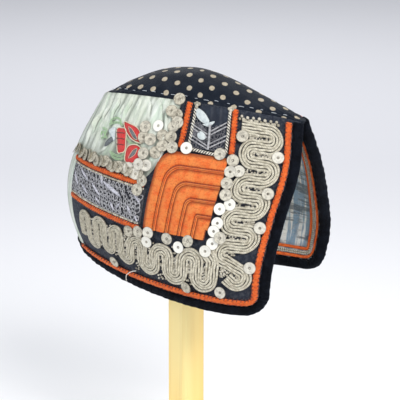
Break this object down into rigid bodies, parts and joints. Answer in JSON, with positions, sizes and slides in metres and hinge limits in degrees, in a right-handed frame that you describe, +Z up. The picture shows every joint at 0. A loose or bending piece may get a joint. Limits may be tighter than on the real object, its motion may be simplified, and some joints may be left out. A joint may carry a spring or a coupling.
{
  "type": "hat on stand",
  "caption": "Child's festive cloth hat with embroidered side panels, a pointed face opening and a dotted satin crown, held up on a plain wooden post stand.",
  "frame": {"origin": "on the floor under the middle of the object", "axes": "+Z up along the post, -Y the way the face opening looks, +X to the wearer's left"},
  "size_m": [0.15, 0.2008, 0.3155],
  "materials": {
    "navy_cotton": "matt",
    "checked_lining": "matt woven",
    "pale_silk": "satin",
    "dotted_satin": "satin",
    "velvet": "velvet pile",
    "orange_cotton": "matt",
    "striped_tape": "matt woven",
    "silver_thread": "metallic thread",
    "red_silk": "satin stitch",
    "white_braid": "twisted cord",
    "sequin_metal": "worn satin",
    "pale_wood": "planed, unvarnished"
  },
  "bodies": {
    "root": {"side_panel_right": "navy_cotton", "side_panel_left": "navy_cotton", "lining_right": "checked_lining", "lining_left": "checked_lining", "back_gore": "pale_silk", "crown": "dotted_satin", "edge_binding_right": "velvet", "edge_binding_left": "velvet", "border_cord_right": "orange_cotton", "border_cord_left": "orange_cotton", "orange_cord_upper_back_right": "orange_cotton", "orange_cord_upper_back_left": "orange_cotton", "orange_cord_upper_front_right": "orange_cotton", "orange_cord_upper_front_left": "orange_cotton", "orange_cord_side_upper_right": "orange_cotton", "orange_cord_side_upper_left": "orange_cotton", "orange_cord_side_lower_right": "orange_cotton", "orange_cord_side_lower_left": "orange_cotton", "pleated_square_right": "orange_cotton", "pleated_square_left": "orange_cotton", "lining_tape_right": "striped_tape", "lining_tape_left": "striped_tape", "silver_panel_right": "silver_thread", "silver_panel_left": "silver_thread", "silver_band_right": "silver_thread", "silver_band_left": "silver_thread", "silk_square_right": "pale_silk", "silk_square_left": "pale_silk", "flower_pod_right": "red_silk", "flower_pod_left": "red_silk", "flower_petal_upper_right": "red_silk", "flower_petal_upper_left": "red_silk", "flower_petal_lower_right": "red_silk", "flower_petal_lower_left": "red_silk", "braid_front_right": "white_braid", "braid_front_left": "white_braid", "braid_hem_right": "white_braid", "braid_hem_left": "white_braid", "sequin_1_right": "sequin_metal", "sequin_1_left": "sequin_metal", "sequin_2_right": "sequin_metal", "sequin_2_left": "sequin_metal", "sequin_3_right": "sequin_metal", "sequin_3_left": "sequin_metal", "sequin_4_right": "sequin_metal", "sequin_4_left": "sequin_metal", "sequin_5_right": "sequin_metal", "sequin_5_left": "sequin_metal", "sequin_6_right": "sequin_metal", "sequin_6_left": "sequin_metal", "stand_base": "pale_wood", "stand_post": "pale_wood", "stand_top": "pale_wood"}
  },
  "joints": []
}
